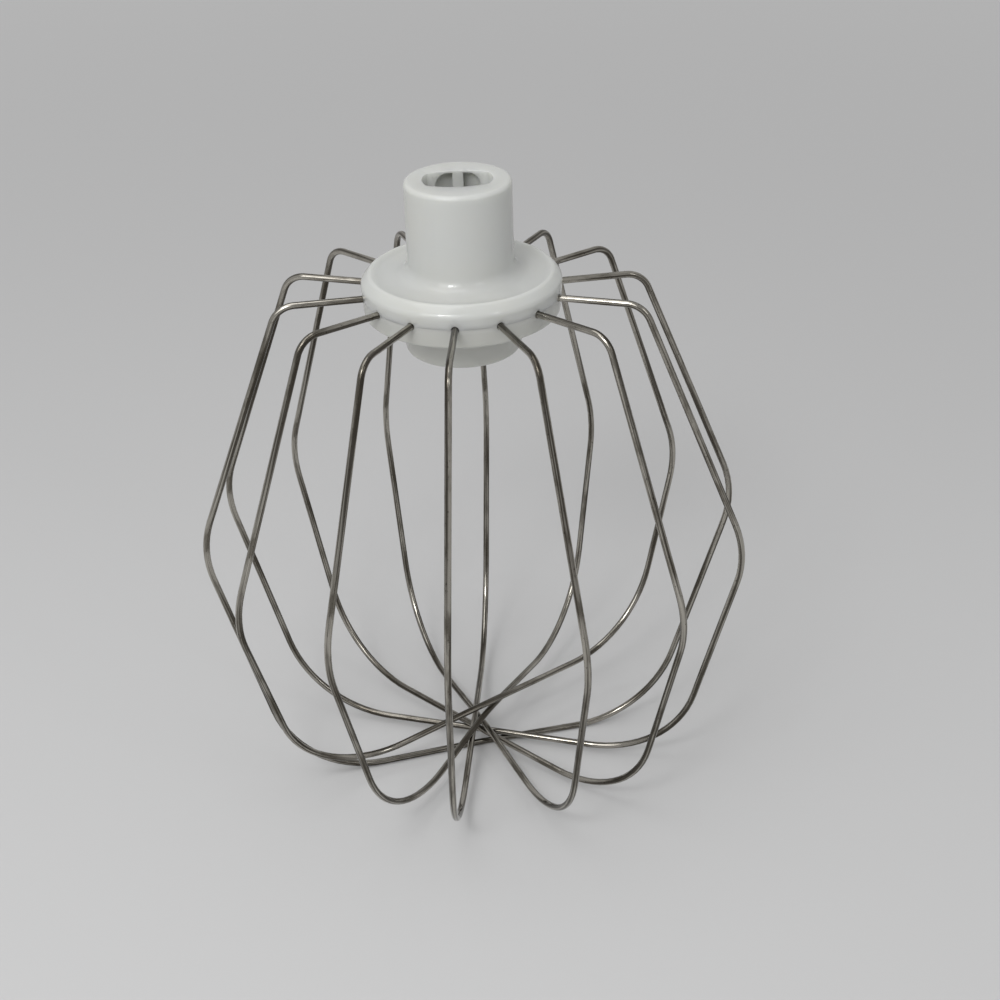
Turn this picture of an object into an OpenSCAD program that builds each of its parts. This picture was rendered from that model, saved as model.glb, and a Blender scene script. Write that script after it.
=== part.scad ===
// Balloon whisk for a food processor.
// Seven bent wire loops cross under the middle and hook into a two-piece moulded hub,
// whose neck holds the drive socket.
// Origin: under the hub's axis, on the bench that the crossing wires rest on. +Z runs up the axis.

/* [Wire cage] */
// Diameter of the stainless wire
wire_d = 1.5; // [1.2:0.1:1.8]
// Height of the wire ends' level, where the two hub mouldings meet
hub_level = 120.5; // [110:0.5:140]
// Radius of the shoulder corner, where a wire turns down
shoulder_r = 40; // [32:0.5:48]
// Radius of the widest corner
equator_r = 62; // [54:0.5:72]
// Height of the widest corner
equator_z = 61; // [50:0.5:70]
// Radius of the foot corner, where a wire turns in
foot_r = 45; // [38:0.5:50]
// Height of the foot corners above the lowest crossing
foot_lift = 0; // [0:0.25:3]
// Turn of the whole cage about the axis, in degrees
cage_turn = -3.7; // [-12:0.1:12]

/* [Wire bends] */
// Bend radius of the shoulder, at the wire's middle
shoulder_bend = 5.4; // [3:0.1:8]
// Bend radius of the widest corner
equator_bend = 23; // [12:0.5:28]
// Bend radius of the foot
foot_bend = 26; // [14:0.5:28]
// Bend radius where a wire crosses the axis
crossing_bend = 60; // [30:1:80]
// Clear gap between one wire and the next in the pile of crossings
crossing_gap = 0.2; // [0.2:0.05:0.5]

/* [Hub neck] */
// Height of the neck's top above the wire ends' level
neck_rise = 25.1; // [22:0.1:34]
// Outer radius at the top of the neck
neck_top_r = 11.5; // [11:0.1:12.6]
// Outer radius at the foot of the neck
neck_foot_r = 11.5; // [11.3:0.1:13]
// Rounding of the neck's top edge
neck_edge_r = 1; // [0.6:0.1:2]
// Radius of the hollow fillet at the neck's foot
cove_r = 3; // [1.5:0.1:3.6]

/* [Hub flange] */
// Largest radius of the flange
flange_r = 21.8; // [21.5:0.1:25]
// Height of the flange's crest above the wire ends' level
crest_rise = 4.9; // [4.8:0.1:6]
// Width of the level crest, from its lip to the sloping rim
crest_w = 0.6; // [0.6:0.1:1]
// Width of the sloping rim, seen from above
rim_slope_w = 1.8; // [1.4:0.1:2.2]
// Height of the sloping rim
rim_slope_h = 2; // [1.2:0.1:2.2]
// Rounding where the crest turns into the rim
crest_edge_r = 1; // [0.5:0.1:1]
// Rounding where the rim turns into the side
rim_edge_r = 1.8; // [0.8:0.1:2]
// Depth of the dished top below the crest
dish_depth = 0.5; // [0.3:0.1:1.2]
// Width of the lip's slope down to the dished top
lip_w = 1; // [0.2:0.1:1.4]
// Inward slope of the flange's side, over its height
flange_draft = 0.25; // [0.1:0.05:0.5]

/* [Lower cap] */
// Height of the cap's outer band
band_h = 4.4; // [4.2:0.1:7]
// Rounding of the band's lower edge
band_edge_r = 0.8; // [0.5:0.1:1.6]
// Radius at the top of the boss
boss_top_r = 15; // [14.6:0.1:17]
// Radius at the bottom of the boss
boss_foot_r = 12.6; // [12.2:0.1:14]
// Depth of the boss's bottom below the wire ends' level
boss_drop = 13.1; // [12:0.1:18]
// Rounding of the boss's bottom edge
boss_edge_r = 1.2; // [0.6:0.1:1.8]

/* [Drive socket] */
// Radius of the socket, which its round ends reach
socket_r = 7.5; // [7:0.1:8]
// Half of the socket's narrow way, at the middle of its curved flats
socket_half_y = 5.1; // [4.6:0.1:5.6]
// Radius of the curved flats
socket_flat_r = 16.3; // [12:0.1:24]
// Depth of the shaped socket
socket_depth = 21; // [16:0.5:21.5]
// Width of the arched recess in each flat
recess_w = 9.7; // [8:0.1:10.4]
// Depth of the arch's crown below the neck's top
recess_top = 0.5; // [0.4:0.1:1.5]
// Radius of the arch's shoulders
recess_corner_r = 2.6; // [1.5:0.1:3.4]
// Width of the key that stands in each recess
key_w = 2.3; // [1.6:0.1:3]
// Radius of the round pilot hole under the socket
pilot_r = 4.1; // [3:0.1:4.4]
// Depth of the pilot hole's floor below the neck's top
pilot_depth = 33; // [30:0.5:33.5]

/* [Joining the hub] */
// Radius of the spigot that the upper moulding presses into the cap
spigot_r = 9.5; // [8.5:0.1:10]
// Length of the spigot below the wire ends' level
spigot_drop = 10; // [9.5:0.1:10.4]
// How far the snap bead stands out of the spigot
bead_out = 0.4; // [0.2:0.05:0.6]
// Height of the snap bead
bead_h = 1.6; // [1:0.1:2.4]
// Clearance between the spigot and the cap
spigot_gap = 0.2; // [0.1:0.05:0.4]
// Clearance round a wire in its half grooves and in the hook channel
wire_gap = 0.1; // [0.05:0.05:0.2]
// Radius at which the hooked wire ends turn down
hook_r = 13; // [12:0.1:13.5]
// Bend radius of the hook
hook_bend = 1.9; // [1.5:0.1:2.2]
// How far the hooked end reaches below the wire ends' level
hook_drop = 4.4; // [3.6:0.1:5]

/* [Hidden] */
loops = 7;
legs = 2 * loops;

$fn = 96;
wire_sides = 12;
wire_r = wire_d / 2;
groove_r = wire_r + wire_gap;
front = 270;
plastic = [0.87, 0.88, 0.85];
steel = [0.55, 0.54, 0.51];

// How many steps each bend of a wire is drawn with
hook_steps = 4;
shoulder_steps = 5;
equator_steps = 5;
foot_steps = 7;
crossing_steps = 2;
// The same for the rounded edges of the flange
edge_steps = 6;

// The wires of a used whisk are a little out of true. These are whole millimetres, one for
// each leg, counted from the front leg towards +X. A swing is sideways, a reach is outwards.
equator_reach = [0, 0, 0, 2, 1, 0, 0, 0, 0, 0, 0, 0, 0, 0];
equator_swing = [-1, 1, 0, 1, 0, 0, -1, 0, -1, -1, -1, 0, -1, 0];
equator_rise = [0, -2, -2, 1, 2, 0, 0, 0, 0, 0, 2, 2, -2, 0];
foot_reach = [-1, 0, 0, 2, -2, 3, 3, 0, 2, 1, -1, -1, -2, -2];
foot_swing = [-3, 3, 2, 3, 2, 0, -1, 1, -1, -2, -3, 6, -8, 1];
foot_rise = [0, 1, 0, 1, 0, 11, 5, 1, 1, 3, 1, 0, 1, 1];
// The same for each loop where it passes the axis
crossing_swing = [-1, 1, 0, 2, -1, -1, -2];
// Place of each loop in the pile of crossings, from the lowest up. The first loop needs a
// little more room, because it meets the next one off the axis.
crossing_place = [4.25, 3, 2, 1, 0, 6.25, 5.25];

// Derived sizes of the hub, measured from the wire ends' level
dish_z = crest_rise - dish_depth;
parting_r = flange_r - flange_draft;
socket_floor = neck_rise - socket_depth;
pilot_floor = neck_rise - pilot_depth;
bead_z = -spigot_drop + bead_h;
spigot_bore_r = spigot_r + spigot_gap;
channel_in_r = hook_r - groove_r;
channel_out_r = hook_r + groove_r;
cut = 1;
// Turns smaller than this, in degrees, are left straight
straight_enough = 0.5;

// Wire geometry

function unit(v) = v / norm(v);

// The direction outwards along a leg, and the direction sideways from it
function leg_azimuth(k) = front + cage_turn + k * 360 / legs;
function outwards(k) = [cos(leg_azimuth(k)), sin(leg_azimuth(k)), 0];
function sideways(k) = [-sin(leg_azimuth(k)), cos(leg_azimuth(k)), 0];
function on_leg(k, reach, swing, z) = reach * outwards(k) + swing * sideways(k) + [0, 0, z];

// Corner points of one leg, from the hooked end down to the foot
function leg_corners(k) = [
    on_leg(k, hook_r, 0, hub_level - hook_drop),
    on_leg(k, hook_r, 0, hub_level),
    on_leg(k, shoulder_r, 0, hub_level),
    on_leg(k, equator_r + equator_reach[k], equator_swing[k], equator_z + equator_rise[k]),
    on_leg(k, foot_r + foot_reach[k], foot_swing[k], wire_r + foot_lift + foot_rise[k])
];

// Where a loop passes the axis: each wire lies on the one below it
function crossing_point(j) =
    on_leg(j, 0, crossing_swing[j], wire_r + crossing_place[j] * (wire_d + crossing_gap));

function reversed(list) = [for (i = [len(list) - 1:-1:0]) list[i]];
function loop_corners(j) =
    concat(leg_corners(j), [crossing_point(j)], reversed(leg_corners(j + loops)));

leg_bends = [hook_bend, shoulder_bend, equator_bend, foot_bend];
leg_steps = [hook_steps, shoulder_steps, equator_steps, foot_steps];
loop_bends = concat(leg_bends, [crossing_bend], reversed(leg_bends));
loop_steps = concat(leg_steps, [crossing_steps], reversed(leg_steps));

// Points of the arc that rounds the corner p on the way from a to b
function corner_arc(a, p, b, bend, steps) =
    let (
        u = unit(a - p),
        v = unit(b - p),
        half = acos(u * v) / 2,
        turn = 180 - 2 * half
    )
    turn < straight_enough ? [p] :
    let (
        middle = p + unit(u + v) * bend / sin(half),
        from = p + u * bend / tan(half) - middle,
        to = p + v * bend / tan(half) - middle
    )
    [for (i = [0:steps])
        middle + (sin((1 - i / steps) * turn) * from + sin(i / steps * turn) * to) / sin(turn)];

function rounded_path(corners, bends, steps) =
    let (last = len(corners) - 1)
    concat(
        [corners[0]],
        [for (i = [1:last - 1])
            each corner_arc(corners[i - 1], corners[i], corners[i + 1], bends[i - 1], steps[i - 1])],
        [corners[last]]
    );

// Direction of the path at point i
function heading(path, i) =
    unit(path[min(i + 1, len(path) - 1)] - path[max(i - 1, 0)]);

// A direction square to the path at every point, carried along it without twist
function carried(path, i = 0, side = [1, 0, 0]) =
    i == len(path) ? [] :
    let (
        h = heading(path, i),
        s = unit(side - (side * h) * h)
    )
    concat([s], carried(path, i + 1, s));

// A round wire along a path, closed at both ends
module swept_wire(path, radius, sides) {
    side = carried(path);
    rings = [for (i = [0:len(path) - 1])
        let (up = cross(heading(path, i), side[i]))
        for (s = [0:sides - 1])
            path[i] + radius * (cos(s * 360 / sides) * side[i] + sin(s * 360 / sides) * up)];
    last = (len(path) - 1) * sides;
    walls = [for (i = [0:len(path) - 2]) for (s = [0:sides - 1])
        let (a = i * sides + s, b = i * sides + (s + 1) % sides)
        each [[a, a + sides, b], [b, a + sides, b + sides]]];
    ends = [
        [for (s = [0:sides - 1]) s],
        [for (s = [sides - 1:-1:0]) last + s]
    ];
    polyhedron(points = rings, faces = concat(walls, ends), convexity = 6);
}

module wire_loop(j) {
    color(steel)
        swept_wire(rounded_path(loop_corners(j), loop_bends, loop_steps), wire_r, wire_sides);
}

// Half grooves for the straight wire ends, cut from the face where the mouldings meet
module wire_grooves() {
    for (k = [0:legs - 1])
        translate(on_leg(k, hook_r, 0, 0))
            rotate([0, 90, leg_azimuth(k)])
                cylinder(r = groove_r, h = flange_r - hook_r + cut, $fn = 32);
}

// A turned piece between two heights
module turned(bottom_z, top_z, bottom_r, top_r) {
    translate([0, 0, bottom_z])
        cylinder(h = top_z - bottom_z, r1 = bottom_r, r2 = top_r);
}

// A ring of round section, for rounded edges
module round_ring(mid_r, mid_z, section_r) {
    rotate_extrude()
        translate([mid_r, mid_z])
            circle(r = section_r, $fn = 48);
}

module neck() {
    edge_z = neck_rise - neck_edge_r;
    edge_mid_r = neck_top_r - neck_edge_r;
    turned(0, dish_z, neck_foot_r, neck_foot_r);
    turned(dish_z, edge_z, neck_foot_r, neck_top_r);
    turned(0, neck_rise, edge_mid_r, edge_mid_r);
    round_ring(edge_mid_r, edge_z, neck_edge_r);
}

// Flange with its drafted side, sloping rim, narrow crest and dished top
module flange() {
    foot = [parting_r, 0];
    brow = [flange_r, crest_rise - rim_slope_h];
    shoulder = [flange_r - rim_slope_w, crest_rise];
    lip = shoulder - [crest_w, 0];
    rotate_extrude()
        polygon(concat(
            [[0, 0], foot],
            corner_arc(foot, brow, shoulder, rim_edge_r, edge_steps),
            corner_arc(brow, shoulder, lip, crest_edge_r, edge_steps),
            [lip, [lip[0] - lip_w, dish_z], [0, dish_z]]
        ));
}

// Hollow fillet between the neck and the dished top
module cove() {
    rotate_extrude()
        difference() {
            translate([neck_top_r - cut, dish_z - cut])
                square([neck_foot_r + cove_r - neck_top_r + cut, cove_r + cut]);
            translate([neck_foot_r + cove_r, dish_z + cove_r])
                circle(r = cove_r, $fn = 48);
        }
}

// Spigot that presses into the cap, with its snap bead; the gap makes the bore for it
module spigot(gap) {
    foot_z = -spigot_drop - gap;
    turned(foot_z, cut, spigot_r + gap, spigot_r + gap);
    turned(bead_z - bead_h / 2, bead_z, spigot_r + gap, spigot_r + gap + bead_out);
    turned(bead_z, bead_z + bead_h / 2, spigot_r + gap + bead_out, spigot_r + gap);
}

// The socket in plan: a round hole with two curved flats
module socket_plan() {
    intersection() {
        circle(r = socket_r);
        intersection_for(side = [-1, 1])
            translate([0, side * (socket_half_y - socket_flat_r)])
                circle(r = socket_flat_r);
    }
}

// The arched recess in the flats, seen from the side: round shoulders, open to the floor
module recess_arch() {
    corner_x = recess_w / 2 - recess_corner_r;
    corner_z = neck_rise - recess_top - recess_corner_r;
    translate([-recess_w / 2, socket_floor])
        square([recess_w, corner_z - socket_floor]);
    translate([-corner_x, socket_floor])
        square([2 * corner_x, corner_z + recess_corner_r - socket_floor]);
    for (side = [-1, 1])
        translate([side * corner_x, corner_z])
            circle(r = recess_corner_r, $fn = 48);
}

// The arched recesses reach out to the socket's full radius on both sides of a key
module socket_recesses() {
    difference() {
        intersection() {
            translate([0, 0, socket_floor])
                cylinder(r = socket_r, h = socket_depth);
            translate([0, socket_r + cut, 0])
                rotate([90, 0, 0])
                    linear_extrude(2 * (socket_r + cut))
                        recess_arch();
        }
        for (side = [-1, 1])
            translate([-key_w / 2, side > 0 ? socket_half_y : -socket_r - cut, socket_floor - cut])
                cube([key_w, socket_r + cut - socket_half_y, socket_depth + 2 * cut]);
    }
}

module drive_socket() {
    translate([0, 0, socket_floor])
        linear_extrude(socket_depth + cut)
            socket_plan();
    socket_recesses();
    translate([0, 0, pilot_floor])
        cylinder(r = pilot_r, h = socket_floor - pilot_floor + cut);
}

// Upper moulding: neck, dished flange and the spigot that holds the cap
module hub_body() {
    color(plastic)
        translate([0, 0, hub_level])
            difference() {
                union() {
                    flange();
                    neck();
                    cove();
                    spigot(0);
                }
                drive_socket();
                wire_grooves();
            }
}

// Outer band of the cap, which carries on the flange's side
module cap_band() {
    edge_z = -band_h + band_edge_r;
    foot_r = parting_r - flange_draft;
    turned(edge_z, 0, foot_r, parting_r);
    turned(-band_h, 0, foot_r - band_edge_r, foot_r - band_edge_r);
    round_ring(foot_r - band_edge_r, edge_z, band_edge_r);
}

// Tapered boss under the cap
module cap_boss() {
    edge_z = -boss_drop + boss_edge_r;
    turned(edge_z, -band_h, boss_foot_r, boss_top_r);
    turned(-boss_drop, -band_h, boss_foot_r - boss_edge_r, boss_foot_r - boss_edge_r);
    round_ring(boss_foot_r - boss_edge_r, edge_z, boss_edge_r);
}

// Ring channel for the hooked wire ends, with a sloping lip that clears their bend
module hook_channel() {
    floor_z = -hook_drop - wire_gap;
    rotate_extrude()
        polygon([
            [channel_in_r, floor_z],
            [channel_out_r, floor_z],
            [channel_out_r, -hook_bend],
            [channel_out_r + hook_bend + cut, cut],
            [channel_in_r, cut]
        ]);
}

// Lower moulding: clamps the wires against the flange and closes the hub
module clamp_cap() {
    color(plastic)
        translate([0, 0, hub_level])
            difference() {
                union() {
                    cap_band();
                    cap_boss();
                }
                spigot(spigot_gap);
                hook_channel();
                wire_grooves();
            }
}

hub_body();
clamp_cap();
for (j = [1:loops])
    wire_loop(j - 1);
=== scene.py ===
"""Looks of a food processor whisk: drawn steel wire loops in a white moulded hub, on a pale stage."""

import math

import bmesh
import bpy
from mathutils import Matrix, Vector


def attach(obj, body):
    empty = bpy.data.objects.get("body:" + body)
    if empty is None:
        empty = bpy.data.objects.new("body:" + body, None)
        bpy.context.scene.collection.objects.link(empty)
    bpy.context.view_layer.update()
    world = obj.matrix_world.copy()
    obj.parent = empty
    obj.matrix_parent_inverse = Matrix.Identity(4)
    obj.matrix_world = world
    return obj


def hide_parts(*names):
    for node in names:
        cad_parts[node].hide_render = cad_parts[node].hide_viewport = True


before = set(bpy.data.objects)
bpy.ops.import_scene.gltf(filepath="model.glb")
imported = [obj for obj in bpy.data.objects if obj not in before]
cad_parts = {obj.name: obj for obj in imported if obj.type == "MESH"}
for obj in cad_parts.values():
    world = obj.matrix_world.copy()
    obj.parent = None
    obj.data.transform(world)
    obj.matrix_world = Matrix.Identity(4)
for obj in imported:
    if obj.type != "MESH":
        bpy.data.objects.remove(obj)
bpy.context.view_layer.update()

bl_info = {
    "name": "Food processor whisk",
    "version": (1, 0, 0),
    "blender": (4, 5, 0),
    "location": "View3D > Sidebar > Whisk",
    "description": "Models the wire loops, finishes the moulded hub and sets a pale stage",
    "category": "Add Mesh",
}

MM = 0.001
LOOPS = 7
LEGS = 2 * LOOPS
FRONT = math.radians(270)

# How each leg departs from a true cage, in millimetres, counted from the front leg towards +X
EQUATOR_REACH = (0, 0, 0, 2, 1, 0, 0, 0, 0, 0, 0, 0, 0, 0)
EQUATOR_SWING = (-1, 1, 0, 1, 0, 0, -1, 0, -1, -1, -1, 0, -1, 0)
EQUATOR_RISE = (0, -2, -2, 1, 2, 0, 0, 0, 0, 0, 2, 2, -2, 0)
FOOT_REACH = (-1, 0, 0, 2, -2, 3, 3, 0, 2, 1, -1, -1, -2, -2)
FOOT_SWING = (-3, 3, 2, 3, 2, 0, -1, 1, -1, -2, -3, 6, -8, 1)
FOOT_RISE = (0, 1, 0, 1, 0, 11, 5, 1, 1, 3, 1, 0, 1, 1)
# How each loop passes the axis: its swing in millimetres and its place in the pile
CROSSING_SWING = (-1, 1, 0, 2, -1, -1, -2)
CROSSING_PLACE = (4.25, 3, 2, 1, 0, 6.25, 5.25)

# Bend radii in millimetres from a leg's hooked end to its foot, and where a loop passes the axis
LEG_BENDS = (1.9, 5.4, 23, 26)
CROSSING_BEND = 60

# Creases sharper than these are kept on the wire ends and rounded on the mouldings
WIRE_CREASE = math.radians(40)
MOULDING_CREASE = math.radians(35)
WELD_REACH = 0.001 * MM

# Sideways form of the photograph's camera, in the part's frame
CAMERA_PITCH = 0.5098
CAMERA_ROLL = -0.0317
CAMERA_OFFSET = Vector((-4.8967, 460.1599, -59.5305)) * MM
CAMERA_RAISE = 0.25 * MM
CAMERA_LENS = 66.96
CAMERA_SENSOR = 36

# The floor's side, and how far from the whisk its colour starts and ends to turn lighter, in metres; this
# lighter far floor is painted light where the lamps don't reach
FLOOR_SIZE = 6
FLOOR_PAINTED_LIGHT_FADE = (0.2, 1.3)
# The place that all lamps look at, and each lamp's azimuth and elevation in degrees, distance and size in metres
LIT_PLACE = Vector((0, 0, 80)) * MM
LAMPS = {
    "window_lamp": (-116, 37, 0.75, (0.54, 0.42)),
    "pane_lamp": (-112, 42, 0.74, (0.16, 0.125)),
    "side_lamp": (-50, 32, 0.9, (0.12, 0.30)),
    "left_lamp": (-150, 72, 0.7, (0.50, 0.50)),
}


# Settings


def length(name, description, millimetres):
    return bpy.props.FloatProperty(name=name, description=description, default=millimetres * MM, unit="LENGTH")


def angle(name, description, degrees):
    return bpy.props.FloatProperty(
        name=name, description=description, default=math.radians(degrees), subtype="ANGLE"
    )


def power(name, description, watts):
    return bpy.props.FloatProperty(name=name, description=description, default=watts, subtype="POWER")


def colour(name, description, *shade):
    return bpy.props.FloatVectorProperty(name=name, description=description, default=shade, subtype="COLOR")


class WireSettings(bpy.types.PropertyGroup):
    """Sizes and colours of the wire loops"""

    diameter: length("Wire diameter", "Thickness of the drawn wire", 1.5)
    ends_level: length("Ends level", "Height at which the wires leave the hub", 120.5)
    hook_radius: length("Hook radius", "Where the hooked ends turn down in the hub", 13)
    hook_drop: length("Hook drop", "How far the hooked ends reach down", 4.4)
    shoulder_radius: length("Shoulder radius", "Where a wire turns down", 40)
    equator_radius: length("Equator radius", "Radius of the widest corner", 62)
    equator_level: length("Equator level", "Height of the widest corner", 61)
    foot_radius: length("Foot radius", "Radius of the lowest corner", 45)
    crossing_gap: length("Crossing gap", "Clear gap between wires in the pile", 0.2)
    turn: angle("Cage turn", "Turn of the cage about the axis", -3.7)
    sides: bpy.props.IntProperty(name="Sides", description="Faces around a wire", default=24, min=8, max=48)
    step: angle("Bend step", "Largest turn between two rings of a bend", 5)
    clean: colour("Steel", "Colour of the clean steel", 0.45, 0.428, 0.382)
    dulled: colour("Dulled steel", "Colour of the dulled patches", 0.18, 0.166, 0.14)
    # The dark line colour is partly the die's lines and partly painted reflection, the dark bands that a round
    # wire mirrors along its length
    drawn: colour(
        "Drawing lines", "Colour of the dark lines that the die leaves along the wire", 0.048, 0.041, 0.031
    )


class HubSettings(bpy.types.PropertyGroup):
    """Colours and edges of the hub's mouldings"""

    hub_body: colour("Hub plastic", "Colour of the upper moulding", 0.55, 0.56, 0.545)
    # The lower moulding is the same white plastic as the upper one; its darker colour is painted shade, for the
    # shade under the flange
    clamp_cap: colour("Cap plastic", "Colour of the lower moulding", 0.48, 0.485, 0.46)
    aged: colour("Aged plastic", "Colour of the slightly yellowed patches", 0.57, 0.57, 0.53)
    edge_rounding: length("Edge rounding", "Rounding of the mouldings' small edges", 0.18)


class StageSettings(bpy.types.PropertyGroup):
    """Colours of the room and powers of the lamps"""

    floor: colour("Floor", "Colour of the floor", 0.565, 0.565, 0.567)
    # Painted light: the floor turns to this lighter colour far from the whisk, where the lamps' light falls off
    far_floor_painted_light: colour("Far floor", "Colour of the floor away from the lamps", 0.82, 0.82, 0.82)
    background: colour("Background", "Colour behind the floor", 0.48, 0.48, 0.48)
    walls: colour("Walls", "Colour of the light from the sides of the pale room", 0.32, 0.32, 0.32)
    ceiling: colour("Ceiling", "Colour of the light from overhead", 0.66, 0.66, 0.66)
    window_lamp: power("Window lamp", "Power of the large lamp at the front left", 1.45)
    pane_lamp: power("Pane lamp", "Power of the small bright lamp in front of it", 0.95)
    side_lamp: power("Side lamp", "Power of the weaker lamp at the front right", 0.34)
    left_lamp: power("Left lamp", "Power of the broad lamp high on the left", 1.2)


# Shader maths


class Value:
    """A shader socket that can be used in Python sums."""

    def __init__(self, shading, socket):
        self.shading, self.socket = shading, socket

    def maths(self, operation, other):
        return self.shading.node("ShaderNodeMath", {"operation": operation}, {0: self, 1: other})

    def __add__(self, other):
        return self.maths("ADD", other)

    def __mul__(self, other):
        return self.maths("MULTIPLY", other)

    __radd__ = __add__
    __rmul__ = __mul__


class Shading:
    """The nodes before a closing shader, with one method that adds any node."""

    def __init__(self, tree, shader):
        self.tree, self.shader = tree, tree.nodes[shader]

    def node(self, kind, settings=None, sockets=None, output=0):
        made = self.tree.nodes.new(kind)
        for name, value in (settings or {}).items():
            setattr(made, name, value)
        for key, value in (sockets or {}).items():
            self.join(value, made.inputs[key])
        return Value(self, made.outputs[output])

    def join(self, value, socket):
        if isinstance(value, Value):
            self.tree.links.new(value.socket, socket)
        else:
            socket.default_value = value

    def set(self, **values):
        """Sets or links sockets of the closing shader."""
        for name, value in values.items():
            self.join(value, self.shader.inputs[name.replace("_", " ")])

    def place(self):
        """The place on the object, from its own origin."""
        return self.node("ShaderNodeTexCoord", output="Object")

    def noise(self, where, scale, detail, roughness=0.5):
        sockets = {"Vector": where, "Scale": scale, "Detail": detail, "Roughness": roughness}
        return self.node("ShaderNodeTexNoise", {"noise_dimensions": "3D"}, sockets)

    def ramp(self, value, low, high):
        """0 below low, 1 above high and smooth between."""
        sockets = {"Value": value, "From Min": low, "From Max": high, "To Min": 0.0, "To Max": 1.0}
        return self.node("ShaderNodeMapRange", {"interpolation_type": "SMOOTHSTEP"}, sockets)

    def mix(self, share, first, second):
        """A colour between two colours."""
        return self.node("ShaderNodeMix", {"data_type": "RGBA"}, {0: share, 6: first, 7: second}, output=2)

    def stretched(self, where, factor):
        """The place with its third measure made smaller, which draws a pattern out along it."""
        return self.node("ShaderNodeVectorMath", {"operation": "MULTIPLY"}, {0: where, 1: (1, 1, factor)})

    def bump(self, height, distance, strength, **before):
        """Raises the surface by a pattern, on top of the normal that may be given."""
        sockets = {"Height": height, "Distance": distance, "Strength": strength, **before}
        return self.node("ShaderNodeBump", sockets=sockets)


class Finish(Shading):
    """A new material."""

    def __init__(self, name):
        self.material = bpy.data.materials.new(name)
        self.material.use_nodes = True
        super().__init__(self.material.node_tree, "Principled BSDF")


def rgba(shade):
    return (*shade, 1.0)


def drawn_steel(settings):
    """Stainless wire as it is drawn: fine lines along it, dulled patches, small dark specks, and dark streaks
    along it that are partly die lines and partly painted reflection, the dark bands that a round wire mirrors.
    """
    finish = Finish("drawn_steel_wire")
    along = finish.node("ShaderNodeAttribute", {"attribute_name": "straight_wire"}, output="Vector")
    lines = finish.noise(finish.stretched(along, 0.02), scale=5200, detail=2)
    patches = finish.noise(finish.stretched(along, 0.25), scale=420, detail=4, roughness=0.6)
    dots = finish.noise(finish.stretched(along, 0.6), scale=2600, detail=1)
    # Dark streaks along the wire: partly die lines, partly painted reflection of the dark bands that a round
    # wire mirrors
    dark_streaks_and_reflection = finish.noise(finish.stretched(along, 0.015), scale=1900, detail=2)
    dull = finish.ramp(patches, 0.42, 0.68)
    specks = finish.ramp(dots, 0.68, 0.78)
    drawn = finish.ramp(dark_streaks_and_reflection, 0.41, 0.60)
    steel = finish.mix(dull, rgba(settings.clean), rgba(settings.dulled))
    finish.set(
        Base_Color=finish.mix((drawn + specks) * 0.88, steel, rgba(settings.drawn)),
        Metallic=1.0,
        Roughness=0.07 + dull * 0.11 + drawn * 0.08,
        Normal=finish.bump(lines, distance=0.006 * MM, strength=0.5),
    )
    return finish.material


def white_moulding(name, shade, aged_shade, gloss):
    """Satin white plastic with a faint skin from the mould and slight yellowing."""
    finish = Finish(name)
    place = finish.place()
    skin = finish.noise(place, scale=2600, detail=2)
    sink = finish.noise(place, scale=70, detail=2)
    wear = finish.noise(place, scale=240, detail=3)
    aged = finish.ramp(finish.noise(place, scale=55, detail=3), 0.35, 0.75)
    uneven = finish.bump(sink, distance=0.12 * MM, strength=0.25)
    finish.set(
        Base_Color=finish.mix(aged * 0.5, rgba(shade), rgba(aged_shade)),
        Roughness=gloss + wear * 0.06,
        Normal=finish.bump(skin, distance=0.004 * MM, strength=0.35, Normal=uneven),
        IOR=1.5,
        Subsurface_Weight=0.6,
        Subsurface_Radius=(1.0, 1.0, 0.9),
        Subsurface_Scale=4 * MM,
    )
    return finish.material


def pale_floor(settings):
    """Matt floor with painted light: its colour turns lighter away from the whisk, so that it keeps its tone
    where the lamps don't reach.
    """
    finish = Finish("pale_floor")
    distance = finish.node("ShaderNodeVectorMath", {"operation": "LENGTH"}, {0: finish.place()}, output="Value")
    shade = finish.mix(finish.ramp(distance, *FLOOR_PAINTED_LIGHT_FADE), rgba(settings.floor), rgba(settings.far_floor_painted_light))
    finish.set(Base_Color=shade, Roughness=0.9)
    return finish.material


# Wire geometry


class Bend:
    """The round bend of radius r at corner p, on the way from a to b."""

    def __init__(self, a, p, b, r, largest_step):
        back, on = (a - p).normalized(), (b - p).normalized()
        half = back.angle(on) / 2
        self.turn = math.pi - 2 * half
        self.axis = on.cross(back).normalized()
        self.middle = p + (back + on).normalized() * (r / math.sin(half))
        self.start = p + back * (r / math.tan(half))
        self.end = p + on * (r / math.tan(half))
        self.steps = max(2, math.ceil(self.turn / largest_step))

    def rings(self, direction):
        """Middle and direction of the wire after each step."""
        made = []
        for i in range(1, self.steps + 1):
            turned = Matrix.Rotation(self.turn * i / self.steps, 3, self.axis)
            made.append((self.middle + turned @ (self.start - self.middle), turned @ direction))
        return made


def on_leg(settings, k, reach, swing, level):
    """A place by leg k: out from the axis, sideways and up."""
    azimuth = FRONT + settings.turn + k * math.tau / LEGS
    out = Vector((math.cos(azimuth), math.sin(azimuth), 0))
    side = Vector((-math.sin(azimuth), math.cos(azimuth), 0))
    return out * reach + side * swing + Vector((0, 0, level))


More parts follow.
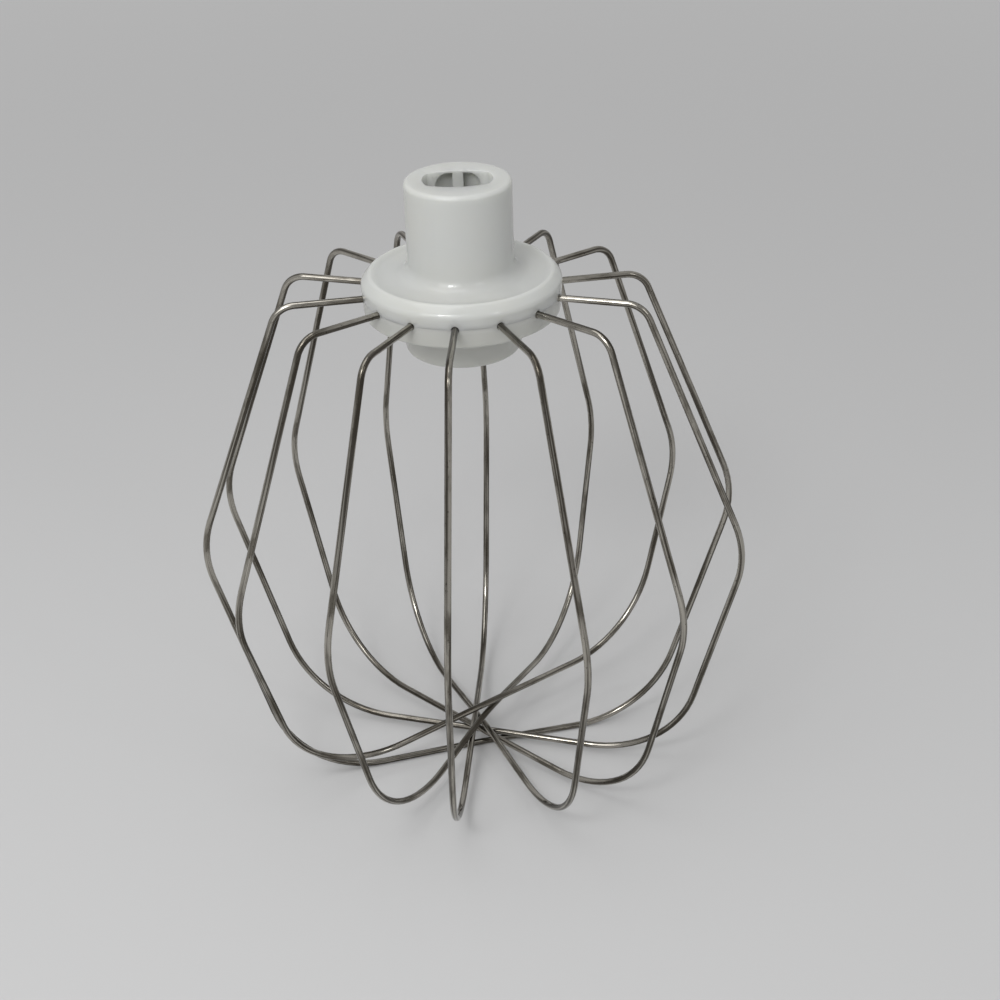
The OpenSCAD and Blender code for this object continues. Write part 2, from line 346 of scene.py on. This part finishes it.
def leg_corners(s, k):
    """Corners of leg k from its hooked end in the hub to its foot."""
    equator_reach, foot_reach = s.equator_radius + EQUATOR_REACH[k] * MM, s.foot_radius + FOOT_REACH[k] * MM
    equator_level, foot_level = s.equator_level + EQUATOR_RISE[k] * MM, s.diameter / 2 + FOOT_RISE[k] * MM
    return [
        on_leg(s, k, s.hook_radius, 0, s.ends_level - s.hook_drop),
        on_leg(s, k, s.hook_radius, 0, s.ends_level),
        on_leg(s, k, s.shoulder_radius, 0, s.ends_level),
        on_leg(s, k, equator_reach, EQUATOR_SWING[k] * MM, equator_level),
        on_leg(s, k, foot_reach, FOOT_SWING[k] * MM, foot_level),
    ]


def loop_corners(s, j):
    """Corners of loop j: down one leg, past the axis and up the leg opposite."""
    level = s.diameter / 2 + CROSSING_PLACE[j] * (s.diameter + s.crossing_gap)
    crossing = on_leg(s, j, 0, CROSSING_SWING[j] * MM, level)
    return [*leg_corners(s, j), crossing, *reversed(leg_corners(s, j + LOOPS))]


def close_end(wire, place, reach):
    """Fills the ring of the wire that lies round a place."""
    bpy.ops.mesh.select_all(action="DESELECT")
    mesh = bmesh.from_edit_mesh(wire.data)
    for vertex in mesh.verts:
        vertex.select = (vertex.co - place).length < reach
    mesh.select_flush(True)
    bmesh.update_edit_mesh(wire.data)
    bpy.ops.mesh.edge_face_add()


def lay_straight(wire, rings):
    """Stores where each point would be if the wire were straight, for patterns that follow it."""
    side = rings[0][1].orthogonal().normalized()
    frames, run, before = [], 0.0, rings[0][0]
    for middle, direction in rings:
        side = (side - direction * side.dot(direction)).normalized()
        run += (middle - before).length
        frames.append((middle, side, direction.cross(side), run))
        before = middle
    laid = wire.data.attributes.new("straight_wire", "FLOAT_VECTOR", "POINT")
    for vertex, item in zip(wire.data.vertices, laid.data):
        middle, side, up, run = min(frames, key=lambda f: (vertex.co - f[0]).length_squared)
        offset = vertex.co - middle
        item.vector = (offset.dot(side), offset.dot(up), run)


def bend_wire(name, corners, settings):
    """A round wire, drawn out straight by straight and turned at each bend."""
    radius = settings.diameter / 2
    ring_reach = radius * 1.1
    bends = (*LEG_BENDS, CROSSING_BEND, *reversed(LEG_BENDS))
    direction = (corners[1] - corners[0]).normalized()
    turned = direction.to_track_quat("Z", "Y").to_euler()
    bpy.ops.object.select_all(action="DESELECT")
    bpy.ops.mesh.primitive_circle_add(
        vertices=settings.sides, radius=radius, location=corners[0], rotation=turned
    )
    wire = bpy.context.object
    wire.name = wire.data.name = name
    bpy.ops.object.transform_apply(location=True, rotation=True, scale=True)
    bpy.ops.object.mode_set(mode="EDIT")
    bpy.ops.mesh.select_all(action="SELECT")
    here, rings = corners[0], [(corners[0], direction)]
    for i in range(1, len(corners) - 1):
        bend = Bend(corners[i - 1], corners[i], corners[i + 1], bends[i - 1] * MM, settings.step)
        bpy.ops.mesh.extrude_edges_move(TRANSFORM_OT_translate={"value": bend.start - here})
        bpy.ops.mesh.spin(steps=bend.steps, angle=-bend.turn, center=bend.middle, axis=bend.axis)
        rings += [(bend.start, direction), *bend.rings(direction)]
        here, direction = bend.end, rings[-1][1]
    bpy.ops.mesh.extrude_edges_move(TRANSFORM_OT_translate={"value": corners[-1] - here})
    rings.append((corners[-1], direction))
    close_end(wire, corners[-1], ring_reach)
    close_end(wire, corners[0], ring_reach)
    bpy.ops.mesh.select_all(action="SELECT")
    bpy.ops.mesh.normals_make_consistent(inside=False)
    bpy.ops.object.mode_set(mode="OBJECT")
    bpy.ops.object.shade_smooth_by_angle(angle=WIRE_CREASE)
    miss = (wire.data.vertices[-1].co - corners[-1]).length
    if miss > ring_reach:
        raise RuntimeError(f"{name} ended {miss / MM:.1f} mm away from its place")
    lay_straight(wire, rings)
    return wire


# Operators


class WHISK_OT_wire_loops(bpy.types.Operator):
    """Model the steel wire loops in place of the plain ones"""

    bl_idname = "whisk.wire_loops"
    bl_label = "Wire loops"

    def execute(self, context):
        settings = context.scene.whisk_wire
        steel = drawn_steel(settings)
        for j in range(LOOPS):
            wire = bend_wire(f"steel_wire_{j + 1}", loop_corners(settings, j), settings)
            wire.data.materials.append(steel)
            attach(wire, "root")
            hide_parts(f"wire_loop_{j + 1}")
        return {"FINISHED"}


class WHISK_OT_hub(bpy.types.Operator):
    """Round the small edges of the hub's mouldings and give them their plastic"""

    bl_idname = "whisk.hub"
    bl_label = "Hub"

    def execute(self, context):
        settings = context.scene.whisk_hub
        # clamp_cap takes the darker white, which is painted shade under the flange
        for name, gloss in (("hub_body", 0.06), ("clamp_cap", 0.12)):
            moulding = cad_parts[name]
            plastic = white_moulding(f"white_plastic_{name}", getattr(settings, name), settings.aged, gloss)
            moulding.data.materials.clear()
            moulding.data.materials.append(plastic)
            bpy.ops.object.select_all(action="DESELECT")
            moulding.select_set(True)
            context.view_layer.objects.active = moulding
            weld = moulding.modifiers.new("join_faces", "WELD")
            weld.merge_threshold = WELD_REACH
            edges = moulding.modifiers.new("round_edges", "BEVEL")
            edges.width, edges.segments, edges.limit_method = settings.edge_rounding, 2, "ANGLE"
            edges.angle_limit = MOULDING_CREASE
            bpy.ops.object.shade_smooth()
        return {"FINISHED"}


class WHISK_OT_stage(bpy.types.Operator):
    """Set the pale floor, the soft lamps and the camera"""

    bl_idname = "whisk.stage"
    bl_label = "Stage"

    def execute(self, context):
        settings = context.scene.whisk_stage
        bpy.ops.object.select_all(action="DESELECT")
        bpy.ops.mesh.primitive_plane_add(size=FLOOR_SIZE)
        floor = context.object
        floor.name = "floor"
        floor.data.materials.append(pale_floor(settings))
        for name, place in LAMPS.items():
            self.lamp(name, *place, getattr(settings, name))
        self.world(context, settings)
        self.camera(context)
        context.scene.view_settings.view_transform = "Standard"
        return {"FINISHED"}

    @staticmethod
    def lamp(name, azimuth, elevation, distance, size, watts):
        """A rectangular lamp that looks at the whisk from a direction given in degrees."""
        azimuth, elevation = math.radians(azimuth), math.radians(elevation)
        level = math.cos(elevation)
        out = Vector((math.cos(azimuth) * level, math.sin(azimuth) * level, math.sin(elevation)))
        turned = (-out).to_track_quat("-Z", "Y").to_euler()
        bpy.ops.object.light_add(type="AREA", location=LIT_PLACE + out * distance, rotation=turned)
        lamp = bpy.context.object
        lamp.name = name
        lamp.data.shape = "RECTANGLE"
        lamp.data.size, lamp.data.size_y = size
        lamp.data.energy = watts

    @staticmethod
    def world(context, settings):
        """A pale room that lights the whisk, behind which an even background is seen and mirrored."""
        world = context.scene.world or bpy.data.worlds.new("pale_room")
        context.scene.world = world
        world.use_nodes = True
        room = Shading(world.node_tree, "Background")
        direction = room.node("ShaderNodeTexCoord", output="Generated")
        height = room.node("ShaderNodeSeparateXYZ", sockets={0: direction}, output="Z")
        light = room.mix(height, rgba(settings.walls), rgba(settings.ceiling))
        seen = room.node("ShaderNodeLightPath", output="Is Camera Ray")
        for ray in ("Is Glossy Ray", "Is Transmission Ray"):
            seen = seen + room.node("ShaderNodeLightPath", output=ray)
        room.set(Color=room.mix(seen, light, rgba(settings.background)), Strength=1.0)

    @staticmethod
    def camera(context):
        turned = Matrix.Rotation(CAMERA_ROLL, 3, "Y") @ Matrix.Rotation(CAMERA_PITCH, 3, "X")
        axes = Matrix((turned[0], turned[2], -turned[1])).transposed()
        place = -(turned.transposed() @ CAMERA_OFFSET) + Vector((0, 0, CAMERA_RAISE))
        bpy.ops.object.camera_add(location=place, rotation=axes.to_euler())
        camera = context.object
        camera.data.lens, camera.data.sensor_width = CAMERA_LENS, CAMERA_SENSOR
        camera.data.clip_start, camera.data.clip_end = 0.01, 20
        context.scene.camera = camera


class WHISK_PT_panel(bpy.types.Panel):
    """Lists the steps and their settings"""

    bl_label = "Whisk"
    bl_idname = "WHISK_PT_panel"
    bl_space_type = "VIEW_3D"
    bl_region_type = "UI"
    bl_category = "Whisk"

    def draw(self, context):
        for name, operator in STEPS.items():
            box = self.layout.box()
            settings = getattr(context.scene, name)
            for setting in settings.__annotations__:
                box.prop(settings, setting)
            box.operator(operator)


# Each step's settings in the scene and its operator
STEPS = {"whisk_wire": "whisk.wire_loops", "whisk_hub": "whisk.hub", "whisk_stage": "whisk.stage"}

CLASSES = (
    WireSettings,
    HubSettings,
    StageSettings,
    WHISK_OT_wire_loops,
    WHISK_OT_hub,
    WHISK_OT_stage,
    WHISK_PT_panel,
)


def register():
    for cls in CLASSES:
        bpy.utils.register_class(cls)
    bpy.types.Scene.whisk_wire = bpy.props.PointerProperty(type=WireSettings)
    bpy.types.Scene.whisk_hub = bpy.props.PointerProperty(type=HubSettings)
    bpy.types.Scene.whisk_stage = bpy.props.PointerProperty(type=StageSettings)


def unregister():
    del bpy.types.Scene.whisk_stage
    del bpy.types.Scene.whisk_hub
    del bpy.types.Scene.whisk_wire
    for cls in reversed(CLASSES):
        bpy.utils.unregister_class(cls)


def main():
    register()
    bpy.ops.whisk.stage()
    bpy.ops.whisk.hub()
    bpy.ops.whisk.wire_loops()


if __name__ == "__main__":
    main()
